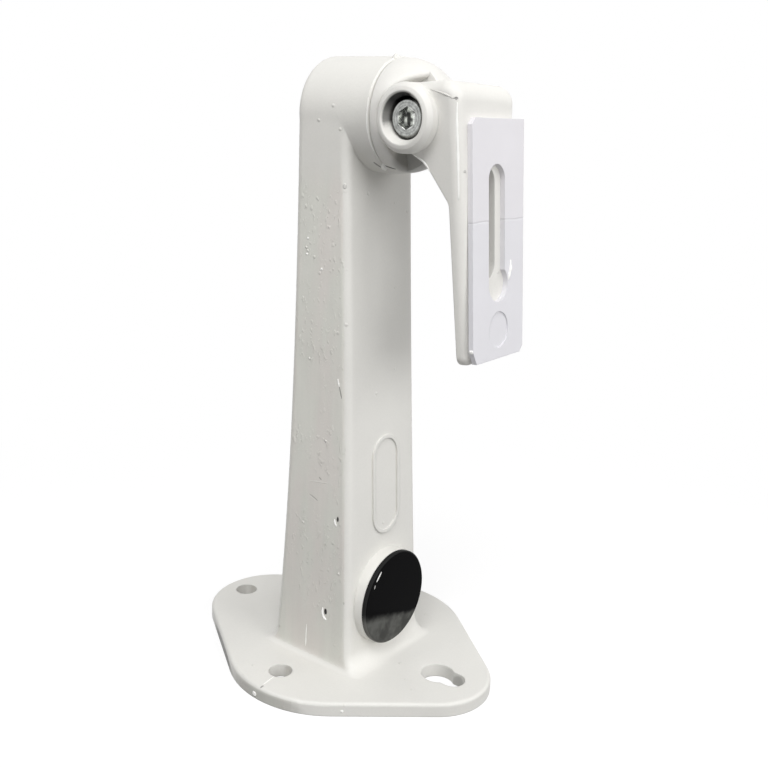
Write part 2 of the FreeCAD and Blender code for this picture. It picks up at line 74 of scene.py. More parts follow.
# Colours, linear
ARM_PAINT = (0.735, 0.725, 0.69)
KNUCKLE_PAINT = (0.715, 0.705, 0.675)
HEAD_PAINT = (0.75, 0.738, 0.703)
# White, for bare metal on burrs and lumps and for painted highlights on lit edges and on the plug
BARE_AND_HIGHLIGHT = (0.93, 0.925, 0.90)
COOL_TINT = (0.983, 0.992, 0.965)
WARM_TINT = (1.0, 0.974, 0.962)
PAD_SHEET = (0.73, 0.722, 0.752)
PAD_WARM = (0.738, 0.722, 0.749)
PLUG_PLASTIC = (0.003, 0.003, 0.0033)
PLUG_DUST = (0.2, 0.2, 0.2)
# Painted light on the plug: its rim painted lighter as sheen, and a painted reflection low on its face and
# rim
PLUG_RIM_SHEEN = (0.02, 0.02, 0.02)
PLUG_PAINTED_REFLECTION = (0.112, 0.113, 0.106)
PLUG_RIM_REFLECTION = (0.16, 0.16, 0.15)
SCREW_METAL = (0.40, 0.41, 0.395)
SOCKET_METAL = (0.46, 0.47, 0.45)
WASHER_METAL = (0.45, 0.45, 0.44)
# Near black for painted shade, and a dark colour for dark marks and for painted shade
SHADE_BLACK = (0.004, 0.004, 0.004)
DARK_MARK_AND_SHADE = (0.03, 0.028, 0.025)

# In the finishes below, a noise is (scale per metre, detail, roughness), a bump is (height in mm, strength),
# a rounding is the radius in mm of the corners, a tone is a range of shares of the colour, and an edge is
# (where a mask is 0, where it is 1). The usual range of a noise, and the samples of a rounding
NOISE_RANGE = (0.3, 0.7)
ROUND_SAMPLES = 6

# Powder coat, with the edges of its marks and scratches
PAINT_ROUNDING = 0.5
PAINT_WAVES = (70, 2.0)
PAINT_GRAIN = (1500, 3.0, 0.6)
PAINT_CLOUD = (28, 4.0, 0.55)
PAINT_GLOSS = (260, 2.0)
PAINT_TONE = (0.965, 1.02)
PAINT_FINE_TONE = (0.985, 1.01)
PAINT_ROUGHNESS = (0.40, 0.50)
PAINT_SPECULAR = 0.4
WAVE_BUMP = (0.5, 0.5)
GRAIN_BUMP = (0.05, 0.5)
SPECKED = 0.1
LESS_SPECKED = 0.04
SPECK_SCALE = 330.0
SPECK_EDGE = (0.20, 0.05)
SPECK_BUMP = (0.16, 1.0)
MARK_EDGE = (1.0, 0.6)
LINE_EDGE = (1.0, 0.5)
LINE_TAPER = 0.4

# The column's rough flanks: how straight sideways they face, the places in mm along y and z between which
# they begin and end, what is left of them above, how rough they are, the height in mm of that roughness,
# and the streaks, the file strokes and the patches where these lie, the tints on them, and the painted shade
# that darkens them towards the bottom
FLANK_FACING = (0.9, 0.98)
FLANK_FRONT = (-17.0, -16.0)
FLANK_TOP = (154.0, 146.0)
FLANK_ABOVE = 0.15
FLANK_ROUGH = 0.6
FLANK_HEIGHT = 0.22
STREAKS = (420, 3.0, 0.6)
STREAK_STRETCH = (1.0, 1.0, 0.07)
STREAK_SHARE = 0.25
STREAK_TONE = (0.955, 1.025)
STROKES = (900, 2.0, 0.6)
STROKE_STRETCH = (1.0, 1.0, 0.45)
STROKE_EDGE = (0.57, 0.70)
PATCHES = (45, 2.0)
PATCH_EDGE = (0.42, 0.58)
HUES = (130, 2.0)
HUE_STRETCH = (1.0, 1.0, 0.3)
HUE_EDGE = (0.4, 0.6)
FLANK_SHADE_HEIGHTS = (20.0, 80.0)
FLANK_SHADE_TONE = 0.86

# Where paint fills the casting's creases: middle and half sizes in mm of the foot and of the column's run
# into the boss, and the radius of the fill in mm
FILLED = (((0.0, -2.0, 4.2), (28.0, 34.0, 9.0)), ((0.0, 0.0, 165.0), (24.0, 14.5, 14.0)))
FILLED_EDGE = (1.0, 0.75)
FILLED_RADIUS = 3.0
FILLED_SAMPLES = 8

# The painted shade, near black, in the upper part of the eye's bowl: the radii and the depths along x in mm
# between which it comes in, the way from the eye's middle (to the back, up) to the middle of the shade, how
# far it spreads round from there with its ragged edge, and the rise over which it darkens from a share to the
# whole
BOWL_SHADE_R = (6.4, 6.1)
BOWL_SHADE_DEPTH = (-11.0, -13.0)
BOWL_SHADE_WAY = (0.68, 0.73)
BOWL_SHADE_SPREAD = (0.3, 0.62)
BOWL_SHADE_NOISE = (700, 2.0)
BOWL_SHADE_RAGGED = (-0.06, 0.06)
BOWL_SHADE_RISE = (0.2, 0.75)
BOWL_SHADE_LOW = 0.7

# The pad's sheet, with the line pressed across it: its place along z in mm, how far it wanders in mm, its
# edges in mm from there, and how dark it is. Above it the sheet is warmer, from an edge in mm on
PAD_ROUNDING = 0.25
PAD_CLOUD = (60, 3.0)
PAD_GRAIN = (2600, 2.0)
PAD_TONE = (0.975, 1.015)
PAD_WARM_TONE = (0.98, 1.02)
PAD_ROUGHNESS = 0.48
PAD_CLOUD_BUMP = (0.35, 0.4)
PAD_GRAIN_BUMP = (0.02, 0.4)
PAD_LINE_Z = 141.2
PAD_LINE_NOISE = (90, 1.0)
PAD_LINE_WANDER = (-0.35, 0.35)
PAD_LINE_EDGE = (0.35, 0.05)
PAD_LINE_DARK = 0.07
PAD_LINE_BUMP = (0.1, 0.6)
PAD_WARM_EDGE = (-0.2, 0.3)

# The plug: its face along y in mm, and the edges of its face and rim in mm behind that. The painted
# reflection low on it begins some mm above a height that rises to the left, less where its edge is crisp and
# more where it is soft, and is full at a depth below. Between the sides, along x in mm, the edge turns from
# crisp to soft.
# It is ragged by some mm, there is only a share of it on the rim, and blotches thin it
PLUG_ROUNDING = 0.2
PLUG_FACE_Y = -20.9
PLUG_FACE_EDGE = (0.3, 0.1)
PLUG_RIM_EDGE = (0.05, 0.3)
PLUG_WAVES = (120, 1.0)
PLUG_WAVE_BUMP = (0.05, 0.25)
PLUG_ROUGHNESS = (0.07, 0.13)
PLUG_SPECULAR = 0.012
PLUG_DUST_NOISE = (2400, 2.0)
PLUG_DUST_EDGE = (0.72, 0.8)
PLUG_DUST_SHARE = 0.2
REFLECTION_EDGE_NOISE = (300, 3.0, 0.6)
REFLECTION_Z = 17.9
REFLECTION_SLOPE = 0.2
REFLECTION_RAGGED = (-0.45, 0.45)
REFLECTION_CRISP = 0.3
REFLECTION_SOFT = 2.5
REFLECTION_DEPTH = 1.5
REFLECTION_SIDES = (6.0, -12.0)
REFLECTION_ON_RIM = 0.35
REFLECTION_BLOTCHES = (170, 3.0, 0.6)
REFLECTION_BLOTCH_EDGE = (0.35, 0.65)
REFLECTION_BLOTCH_TONE = (0.5, 1.0)
# How much of the painted reflection lies low on the rim
RIM_REFLECTION_SHARE = 0.8

# Plated steel, and on a screw's head the socket, with painted glints and shade, and the shaded rim with the
# radii in mm between which they come in, and the turning marks, with painted bands of sheen, in radians per
# mm with their wobble in radians
STEEL_ROUNDING = 0.25
STEEL_DENTS = (900, 3.0, 0.6)
STEEL_DENT_RANGE = (0.35, 0.65)
STEEL_TONE = (0.7, 1.15)
STEEL_DENT_BUMP = (0.08, 0.6)
STEEL_FINE = (5200, 2.0)
STEEL_FINE_BUMP = (0.01, 0.4)
STEEL_GLOSS_SPREAD = (0.8, 1.3)
SCREW_ROUGHNESS = 0.2
WASHER_ROUGHNESS = 0.35
SOCKET_R = (2.9, 2.4)
SOCKET_GLINT_AND_SHADE_NOISE = (480, 1.0, 0.4)
SOCKET_GLINT_AND_SHADE_RANGE = (0.36, 0.56)
SOCKET_GLINT_AND_SHADE_TONE = (0.12, 2.0)
RING_TURNS = 9.0
RING_WOBBLE = 4.0
RING_SHEEN_TONE = (0.86, 1.1)
RIM_R = (4.5, 4.9)
RIM_DARK = 0.75

# Marks in the paint, several of them painted shade and shadows: (centre in mm, half sizes in mm, height in
# mm, colour, how much of that colour), and scratches: (start in mm, end in mm, half width in mm, height in
# mm, colour, how much of that colour)
ARM_MARKS_AND_SHADE = [
    # Painted shade in a pit
    ((-16.8, -10.9, 51.9), (1.0, 0.5, 0.95), -0.3, DARK_MARK_AND_SHADE, 0.95),
    # Painted shade in a pinhole
    ((-17.7, -7.9, 21.2), (1.0, 0.62, 1.15), -0.5, SHADE_BLACK, 1.0),
    ((-15.2, -8.7, 147.8), (1.0, 0.6, 0.8), 0.15, DARK_MARK_AND_SHADE, 0.15),
    ((-17.45, -14.6, 26.2), (1.0, 0.35, 0.5), -0.08, DARK_MARK_AND_SHADE, 0.2),
    # Painted shadow in a notch at the base's edge
    ((-39.9, -3.0, 4.2), (0.8, 0.35, 0.9), -0.2, DARK_MARK_AND_SHADE, 0.5),
    # Painted shade in the keyhole's narrow end
    ((3.6, -43.3, 1.3), (1.8, 2.6, 2.6), 0.0, DARK_MARK_AND_SHADE, 0.3),
    # Painted shade on the base's back and left side walls
    ((-30.0, 28.0, 0.8), (13.0, 24.0, 2.9), 0.0, DARK_MARK_AND_SHADE, 0.75),
    ((-40.0, -4.0, 0.8), (4.0, 22.0, 2.9), 0.0, DARK_MARK_AND_SHADE, 0.2),
]
ARM_SCRATCHES_AND_SHADE = [
    # Painted shade along the joint beside the seam lump
    ((-9.6, -13.9, 154.3), (-6.9, -15.1, 152.8), 0.55, 0.0, DARK_MARK_AND_SHADE, 0.6),
    # Painted shadow of a burr
    ((-16.0, -9.3, 92.3), (-16.05, -10.5, 88.5), 0.3, -0.12, DARK_MARK_AND_SHADE, 0.5),
    ((-16.6, -3.0, 63.1), (-16.6, -4.1, 62.3), 0.3, -0.1, DARK_MARK_AND_SHADE, 0.35),
    ((-16.6, 1.0, 61.0), (-16.6, -6.6, 62.0), 0.25, 0.06, BARE_AND_HIGHLIGHT, 0.12),
    ((-16.7, 0.4, 56.8), (-16.7, -3.1, 55.5), 0.3, -0.1, DARK_MARK_AND_SHADE, 0.2),
    ((-16.3, -5.0, 75.2), (-16.3, -5.5, 73.9), 0.3, 0.1, BARE_AND_HIGHLIGHT, 0.2),
]
KNUCKLE_SHADE = [
    # Painted shade under the eye, where the knuckle's pocket lies
    ((-4.2, -22.6, 154.8), (7.4, 5.0, 5.0), 0.0, DARK_MARK_AND_SHADE, 0.5),
]
KNUCKLE_GAP_SHADE = [
    # Painted shade in the gap beside the seam lump
    ((-7.8, -16.4, 153.8), (-6.0, -18.9, 152.8), 0.6, -0.1, SHADE_BLACK, 0.85),
]
HEAD_MARKS = [
    ((-15.3, -43.1, 171.3), (0.8, 0.5, 0.45), -0.2, DARK_MARK_AND_SHADE, 0.6),
    ((-12.7, -45.4, 154.0), (0.5, 0.8, 0.5), 0.15, DARK_MARK_AND_SHADE, 0.3),
]
# Painted highlights on the plug's rounded front edge
PLUG_HIGHLIGHTS = [
    ((-9.9, -20.9, 32.5), (-7.6, -20.9, 35.0), 0.42, 0.0, BARE_AND_HIGHLIGHT, 1.0),
    ((-10.9, -20.9, 30.5), (-10.4, -20.9, 31.6), 0.3, 0.0, BARE_AND_HIGHLIGHT, 0.5),
]

# Raised burrs and seams, lines of places in mm: (body, node, white or painted over, way out, width in mm,
# height in mm, places). White stands for bare metal, and on the low lines along lit edges it is a painted
# highlight
LEFT = (-1.0, 0.0, 0.0)
FRONT = (0.0, -1.0, 0.0)
UP = (0.0, 0.0, 1.0)
BURRS = {
    "pinhole_burr": ("arm", "arm_casting", True, LEFT, 0.95, 0.4,
                     [(-17.7, -6.75, 22.3), (-17.7, -6.75, 20.6), (-17.8, -7.3, 19.3), (-17.8, -8.3, 18.6)]),
    "pit_burr": ("arm", "arm_casting", True, LEFT, 0.75, 0.25,
                 [(-16.8, -9.8, 51.7), (-16.8, -9.85, 50.7), (-16.9, -10.6, 49.6)]),
    "foot_seam": ("arm", "arm_casting", True, LEFT, 0.4, 0.1,
                  [(-17.9, -0.6, 14.4), (-18.0, -0.55, 10.6), (-18.2, -0.6, 7.0)]),
    "scratch_burr": ("arm", "arm_casting", True, LEFT, 0.55, 0.2,
                     [(-16.0, -8.8, 94.0), (-16.0, -9.1, 92.9), (-16.0, -9.5, 91.9)]),
    "hole_seam": ("arm", "arm_casting", True, UP, 0.26, 0.12,
                  [(-33.3, -1.9, 4.2), (-36.4, -2.2, 4.2), (-39.0, -2.45, 4.2)]),
    # A raised lip, painted white as its highlight
    "slot_burr": ("head", "camera_pad", True, FRONT, 0.8, 0.5,
                  [(7.0, -48.7, 130.6), (6.9, -48.8, 128.6), (6.4, -48.9, 127.0), (5.9, -49.0, 125.4)]),
    # A low seam, painted white as the highlight along the web's front edge
    "web_seam": ("head", "camera_head", True, (-0.7, -0.7, 0.0), 0.6, 0.05,
                 [(-14.9, -43.3, 170.4), (-14.8, -43.4, 166.0), (-14.4, -43.9, 159.0), (-14.1, -44.2, 153.8),
                  (-13.7, -44.6, 146.9)]),
    # A low line, painted white as the highlight on the boss's lit chamfer
    "ring_edge": ("arm", "arm_casting", True, (-0.7, -0.7, 0.0), 0.45, 0.06,
                  [(-14.9, -15.7, 171.0), (-15.3, -15.7, 166.0), (-14.8, -15.7, 162.7), (-13.3, -15.8, 159.1),
                   (-10.2, -15.9, 155.5)]),
    # A line, painted white as the highlight on the web's lit lower edge
    "web_edge": ("head", "camera_head", True, (-0.7, 0.0, -0.7), 0.5, 0.14,
                 [(-15.0, -31.0, 157.2), (-14.9, -32.6, 156.5), (-14.9, -34.1, 155.6), (-14.8, -35.3, 154.4),
                  (-14.7, -36.2, 153.1)]),
    "crown_seam": ("arm", "arm_casting", False, UP, 1.0, 0.35,
                   [(4.5, 7.0, 181.4), (4.7, 2.0, 181.4), (4.3, -4.0, 181.4), (4.6, -10.0, 181.4),
                    (4.3, -14.0, 181.4)]),
    "brow_seam": ("head", "camera_head", False, LEFT, 0.5, 0.16,
                  [(-16.0, -35.9, 173.2), (-16.1, -37.9, 172.8), (-16.0, -40.0, 172.3), (-15.9, -41.7, 171.7),
                   (-15.4, -42.7, 171.2)]),
}

# A burr's steps along and around it, the share of its size at its ends, how full it is between them, how
# ragged it is (scale per metre, share of its size), how deep in mm it is rooted, and its rounding
BURR_STEPS = 22
BURR_SIDES = 8
BURR_END = 0.12
BURR_INSET = 0.03
BURR_FULLNESS = 0.7
BURR_RAGGED = (900, 0.35)
BURR_ROOT = 0.12
BURR_ROUNDING = 0.05

# Small lumps of metal and paint: (body, node, white or painted over, way out, place in mm, radius in mm);
# white stands for bare metal, partly as a painted highlight
LUMPS = {
    "edge_lump": ("arm", "arm_casting", True, LEFT, (-40.8, -0.9, 1.5), 0.75),
    "plate_lump": ("arm", "arm_casting", True, (-0.8, -0.6, 0.0), (-31.2, -26.3, 1.7), 0.4),
    "seam_lump": ("arm", "arm_casting", True, FRONT, (-7.2, -16.0, 153.5), 1.3),
    "crown_lump": ("arm", "arm_casting", False, (-0.1, -0.5, 0.8), (-3.4, -15.8, 181.5), 1.2),
    "corner_lump": ("head", "camera_pad", True, LEFT, (-11.7, -49.8, 108.4), 0.55),
    "side_lump_1": ("arm", "arm_casting", True, LEFT, (-15.5, 3.85, 132.5), 0.33),
    "side_lump_2": ("arm", "arm_casting", False, LEFT, (-15.5, 4.3, 129.9), 0.35),
    "side_lump_3": ("arm", "arm_casting", True, LEFT, (-15.5, 4.1, 128.1), 0.33),
    "side_lump_4": ("arm", "arm_casting", True, LEFT, (-15.5, -1.5, 124.4), 0.35),
    "side_lump_5": ("arm", "arm_casting", False, LEFT, (-15.9, 2.1, 98.1), 0.35),
    "side_lump_6": ("arm", "arm_casting", False, LEFT, (-16.9, 2.5, 47.3), 0.4),
    "side_lump_7": ("arm", "arm_casting", False, LEFT, (-17.3, -12.2, 35.0), 0.4),
    "side_lump_8": ("arm", "arm_casting", False, LEFT, (-16.3, -5.2, 74.7), 0.35),
}

# A lump's subdivisions, how ragged it is (scale per radius, shift per metre from lump to lump, share of its
# size), and its height as a share of its radius
LUMP_LEVELS = 3
LUMP_RAGGED = (1.3, 1000, 0.45)
LUMP_FLAT = 0.55

# How far in mm outside its surface a small piece starts when it is seated, and how far it may go inwards
SEAT_START = 3.0
SEAT_REACH = 8.0


def metres(values):
    """A place, or sizes, in mm as metres."""
    return [value * MM for value in values]


def set_inputs(tree, node, inputs):
    """Sets a node's inputs to values, or links them to sockets."""
    for key, value in inputs.items():
        if isinstance(value, bpy.types.NodeSocket):
            tree.links.new(value, node.inputs[key])
        else:
            node.inputs[key].default_value = value


def add(tree, kind, inputs=None, **settings):
    """A new node with its inputs and settings."""
    made = tree.nodes.new(kind)
    for key, value in settings.items():
        setattr(made, key, value)
    set_inputs(tree, made, inputs or {})
    return made


def maths(tree, operation, a, b=0.0):
    return add(tree, "ShaderNodeMath", {0: a, 1: b}, operation=operation).outputs[0]


def plus(tree, a, b):
    return maths(tree, "ADD", a, b)


def minus(tree, a, b):
    return maths(tree, "SUBTRACT", a, b)


def product(tree, first, *others):
    for other in others:
        first = maths(tree, "MULTIPLY", first, other)
    return first


def divided(tree, a, b):
    """a divided by b, where b may be 0 but not less."""
    return maths(tree, "DIVIDE", a, plus(tree, b, TINY))


def vector_maths(tree, operation, a, b):
    return add(tree, "ShaderNodeVectorMath", {0: a, 1: b}, operation=operation).outputs[0]


def scaled(tree, vector, shares):
    return vector_maths(tree, "MULTIPLY", vector, shares)


def length(tree, vector):
    return add(tree, "ShaderNodeVectorMath", {0: vector}, operation="LENGTH").outputs["Value"]


def split(tree, vector):
    """The x, y and z of a vector."""
    return add(tree, "ShaderNodeSeparateXYZ", {0: vector}).outputs


def ranged(tree, value, low, high, to_low, to_high, smooth=False):
    kind = "SMOOTHSTEP" if smooth else "LINEAR"
    spread = {"Value": value, "From Min": low, "From Max": high, "To Min": to_low, "To Max": to_high}
    return add(tree, "ShaderNodeMapRange", spread, interpolation_type=kind).outputs[0]


def mask(tree, value, off, on):
    """0 where the value is at off or beyond, 1 where it is at on or beyond, and smooth between."""
    return ranged(tree, value, off, on, 0.0, 1.0, smooth=True)


def varied(tree, value, low, high):
    """The usual range of a noise turned to another range."""
    return ranged(tree, value, *NOISE_RANGE, low, high)


def blend_colours(tree, factor, a, b, mode="MIX"):
    """Colour a turned towards colour b by the factor."""
    mixed = add(tree, "ShaderNodeMix", {0: factor, 6: a, 7: b}, data_type="RGBA", blend_type=mode)
    return mixed.outputs[2]


def opaque(colour):
    return (*colour, 1.0)


def shaded(tree, colour, tone):
    """The colour made lighter or darker by the tone."""
    grey = add(tree, "ShaderNodeCombineColor", {0: tone, 1: tone, 2: tone}).outputs[0]
    return blend_colours(tree, 1.0, colour, grey, "MULTIPLY")


def noise_at(tree, place, scale, detail, roughness=0.5):
    inputs = {"Vector": place, "Scale": scale, "Detail": detail, "Roughness": roughness}
    return add(tree, "ShaderNodeTexNoise", inputs).outputs["Fac"]


def rounded(tree, radius, samples=ROUND_SAMPLES):
    """The normal with the edges rounded by a radius in mm."""
    return add(tree, "ShaderNodeBevel", {"Radius": radius * MM}, samples=samples).outputs[0]


def bump(tree, height, distance, strength, normal):
    """The normal with a bump, where a height of 1 stands out by a distance in mm."""
    inputs = {"Height": height, "Distance": distance * MM, "Strength": strength, "Normal": normal}
    return add(tree, "ShaderNodeBump", inputs).outputs[0]


def spot_mask(tree, place, centre, half, edge=MARK_EDGE):
    """1 in the middle of an ellipsoid, 0 outside it. The edge is in shares of its half sizes."""
    away = vector_maths(tree, "SUBTRACT", place, metres(centre))
    return mask(tree, length(tree, scaled(tree, away, [1 / size for size in metres(half)])), *edge)


def line_mask(tree, place, start, end, half_width):
    """1 along the middle of a straight line that tapers to its ends, 0 outside its width."""
    line = metres(b - a for a, b in zip(start, end))
    away = vector_maths(tree, "SUBTRACT", place, metres(start))
    dot = add(tree, "ShaderNodeVectorMath", {0: away, 1: line}, operation="DOT_PRODUCT").outputs["Value"]
    share = ranged(tree, dot, 0.0, sum(c * c for c in line), 0.0, 1.0)
    foot = add(tree, "ShaderNodeVectorMath", {0: line, "Scale": share}, operation="SCALE").outputs[0]
    gap = length(tree, vector_maths(tree, "SUBTRACT", away, foot))
    fullness = product(tree, minus(tree, 1.0, share), share, 4.0)
    width = product(tree, maths(tree, "POWER", fullness, LINE_TAPER), half_width * MM)
    return mask(tree, divided(tree, gap, width), *LINE_EDGE)


def lay_marks(tree, place, base, normal, marks, scratches):
    """The base colour and the normal with marks and scratches laid over them."""
    shapes = [(spot_mask(tree, place, centre, half), rest) for centre, half, *rest in marks]
    shapes += [(line_mask(tree, place, start, end, width), rest) for start, end, width, *rest in scratches]
    for shape, (height, colour, share) in shapes:
        if height:
            normal = bump(tree, product(tree, shape, height), 1.0, 1.0, normal)
        base = blend_colours(tree, product(tree, shape, share), base, opaque(colour))
    return base, normal


def new_material(name):
    """A material, its node tree, its shader, and the place on the object in metres."""
    material = bpy.data.materials.new(name)
    material.use_nodes = True
    tree = material.node_tree
    place = add(tree, "ShaderNodeTexCoord").outputs["Object"]
    return material, tree, tree.nodes["Principled BSDF"], place


def from_axis(tree, place, joint):
    """The way from a joint's middle, and the distance from its axis."""
    away = vector_maths(tree, "SUBTRACT", place, joint["pos_m"])
    return away, length(tree, scaled(tree, away, [1 - abs(c) for c in joint["axis"]]))


def on_flanks(tree, place):
    """1 on the column's faces that look straight to one side, 0 elsewhere."""
    facing = add(tree, "ShaderNodeNewGeometry").outputs["True Normal"]
    parts = split(tree, place)
    sideways = mask(tree, maths(tree, "ABSOLUTE", split(tree, facing)[0]), *FLANK_FACING)
    behind = ranged(tree, parts[1], *metres(FLANK_FRONT), 0.0, 1.0)
    below = ranged(tree, parts[2], *metres(FLANK_TOP), FLANK_ABOVE, 1.0)
    return product(tree, sideways, behind, below)


def filled_creases(tree, place, normal):
    """The normal with the creases at the foot and the boss rounded as thick paint rounds them."""
    share = maths(tree, "MAXIMUM", *(spot_mask(tree, place, *spot, FILLED_EDGE) for spot in FILLED))
    inputs = {0: share, 4: normal, 5: rounded(tree, FILLED_RADIUS, FILLED_SAMPLES)}
    return add(tree, "ShaderNodeMix", inputs, data_type="VECTOR").outputs[1]


def rough_flanks(tree, place, base, normal, amount):
    """The base colour and the normal with streaks, file strokes, tints and painted shade low down on the
    column's flanks.
    """
    flank = on_flanks(tree, place)
    streak = noise_at(tree, scaled(tree, place, STREAK_STRETCH), *STREAKS)
    stroke = noise_at(tree, scaled(tree, place, STROKE_STRETCH), *STROKES)
    patch = noise_at(tree, place, *PATCHES)
    strokes = product(tree, mask(tree, stroke, *STROKE_EDGE), mask(tree, patch, *PATCH_EDGE))
    height = plus(tree, product(tree, streak, STREAK_SHARE), strokes)
    normal = bump(tree, product(tree, height, flank), FLANK_HEIGHT, amount, normal)

    # Painted shade: darker towards the bottom of the flanks
    dust = ranged(tree, split(tree, place)[2], *metres(FLANK_SHADE_HEIGHTS), FLANK_SHADE_TONE, 1.0, smooth=True)
    tone = product(tree, varied(tree, streak, *STREAK_TONE), dust)
    base = blend_colours(tree, product(tree, flank, amount), base, shaded(tree, base, tone))
    hue = noise_at(tree, scaled(tree, place, HUE_STRETCH), *HUES)
    warm = ranged(tree, hue, *HUE_EDGE, 0.0, 1.0)
    tint = blend_colours(tree, warm, opaque(COOL_TINT), opaque(WARM_TINT))
    base = blend_colours(tree, flank, base, blend_colours(tree, 1.0, base, tint, "MULTIPLY"))
    return base, normal


def specks(tree, place, share):
    """1 in the middle of small grains in a share of the cells, 0 elsewhere."""
    cells = add(tree, "ShaderNodeTexVoronoi", {"Vector": place, "Scale": SPECK_SCALE}, feature="F1").outputs
    core = mask(tree, cells["Distance"], *SPECK_EDGE)
    pick = add(tree, "ShaderNodeSeparateColor", {0: cells["Color"]}).outputs[0]
    return product(tree, core, maths(tree, "GREATER_THAN", pick, 1 - share))


def bowl_painted_shade(tree, place, joint):
    """How dark the painted shade is in the upper part of the bowl round the screw, darker towards the top."""
    away, radius = from_axis(tree, place, joint)
    parts = split(tree, away)
    back, up = (product(tree, parts[i + 1], share) for i, share in enumerate(BOWL_SHADE_WAY))
    turn = divided(tree, plus(tree, back, up), radius)
    ragged = varied(tree, noise_at(tree, place, *BOWL_SHADE_NOISE), *BOWL_SHADE_RAGGED)
    arc = mask(tree, plus(tree, turn, ragged), *BOWL_SHADE_SPREAD)
    inside = mask(tree, radius, *metres(BOWL_SHADE_R))
    deep = ranged(tree, parts[0], *metres(BOWL_SHADE_DEPTH), 0.0, 1.0)
    # Painted shade: darker towards the top of the bowl
    thick = ranged(tree, divided(tree, parts[2], radius), *BOWL_SHADE_RISE, BOWL_SHADE_LOW, 1.0)
    return product(tree, arc, inside, deep, thick)


def paint(name, colour, marks=(), scratches=(), rounding=PAINT_ROUNDING, specked=SPECKED, rough=0, eye=None):
    """Satin powder coat on a die casting, with its waves, grain, specks and marks, some marks being painted
    shade. With a share of roughness come the column's rough flanks and filled creases, and with a joint as
    eye the painted shade in its bowl."""
    material, tree, shader, place = new_material(name)
    waves = noise_at(tree, place, *PAINT_WAVES)
    grain = noise_at(tree, place, *PAINT_GRAIN)
    cloud = noise_at(tree, place, *PAINT_CLOUD)
    tone = product(tree, varied(tree, cloud, *PAINT_TONE), varied(tree, grain, *PAINT_FINE_TONE))
    base = shaded(tree, opaque(colour), tone)

    normal = rounded(tree, rounding)
    if rough:
        normal = filled_creases(tree, place, normal)
    normal = bump(tree, waves, *WAVE_BUMP, normal)
    normal = bump(tree, grain, *GRAIN_BUMP, normal)
    if rough:
        base, normal = rough_flanks(tree, place, base, normal, rough)
    normal = bump(tree, specks(tree, place, specked), *SPECK_BUMP, normal)
    if eye:
        # Painted shade in the upper part of the eye's bowl
        base = blend_colours(tree, bowl_painted_shade(tree, place, eye), base, opaque(SHADE_BLACK))
    base, normal = lay_marks(tree, place, base, normal, marks, scratches)

    roughness = varied(tree, noise_at(tree, place, *PAINT_GLOSS), *PAINT_ROUGHNESS)
    set_inputs(tree, shader, {"Base Color": base, "Normal": normal, "Roughness": roughness,
                              "Specular IOR Level": PAINT_SPECULAR})
    return material


def pad_sheet():
    """The pale sheet on the camera plate: matt, faintly uneven, with a pressed line across it."""
    material, tree, shader, place = new_material("pad_sheet")
    cloud = noise_at(tree, place, *PAD_CLOUD)
    grain = noise_at(tree, place, *PAD_GRAIN)
    wander = varied(tree, noise_at(tree, place, *PAD_LINE_NOISE), *metres(PAD_LINE_WANDER))
    above = minus(tree, plus(tree, split(tree, place)[2], wander), PAD_LINE_Z * MM)
    line = mask(tree, maths(tree, "ABSOLUTE", above), *metres(PAD_LINE_EDGE))

    base = shaded(tree, opaque(PAD_SHEET), varied(tree, cloud, *PAD_TONE))
    warm = shaded(tree, opaque(PAD_WARM), varied(tree, cloud, *PAD_WARM_TONE))
    base = blend_colours(tree, mask(tree, above, *metres(PAD_WARM_EDGE)), base, warm)
    base = blend_colours(tree, product(tree, line, PAD_LINE_DARK), base, opaque(DARK_MARK_AND_SHADE))

    normal = rounded(tree, PAD_ROUNDING)
    normal = bump(tree, cloud, *PAD_CLOUD_BUMP, normal)
    normal = bump(tree, grain, *PAD_GRAIN_BUMP, normal)
    normal = bump(tree, product(tree, line, -1.0), *PAD_LINE_BUMP, normal)
    set_inputs(tree, shader, {"Base Color": base, "Normal": normal, "Roughness": PAD_ROUGHNESS})
    return material


